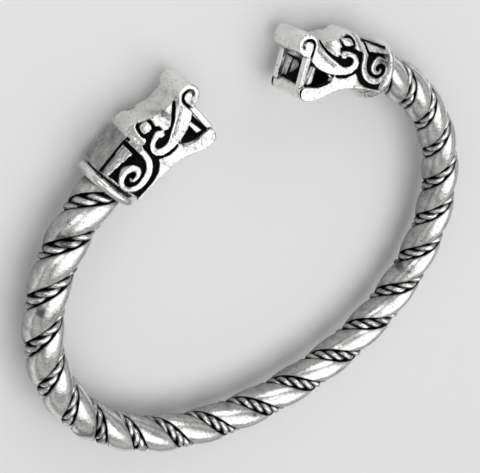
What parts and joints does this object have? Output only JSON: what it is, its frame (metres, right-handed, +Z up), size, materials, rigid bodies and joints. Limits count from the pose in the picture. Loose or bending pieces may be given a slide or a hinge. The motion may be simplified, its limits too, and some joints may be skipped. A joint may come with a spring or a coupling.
{
  "type": "arm ring",
  "caption": "Open twisted arm ring of smooth and finely twisted strands, with a cast open-mouthed beast head and a ferrule on each end.",
  "frame": {"origin": "middle of the outline, on the surface that the ring lies on", "axes": "the ring lies flat; +Z up, the opening between the heads faces -Y, and +X is the width of the ring"},
  "size_m": [0.0763, 0.0698, 0.01],
  "materials": {
    "silver": "polished on the high parts, with blackened recesses",
    "wire_silver": "polished fine wire, blackened between the turns"
  },
  "bodies": {
    "root": {"smooth_strand_1": "silver", "smooth_strand_2": "silver", "twisted_wire_1": "wire_silver", "twisted_wire_2": "wire_silver", "ferrule_left": "silver", "ferrule_right": "silver", "head_left": "silver", "head_right": "silver"}
  },
  "joints": []
}
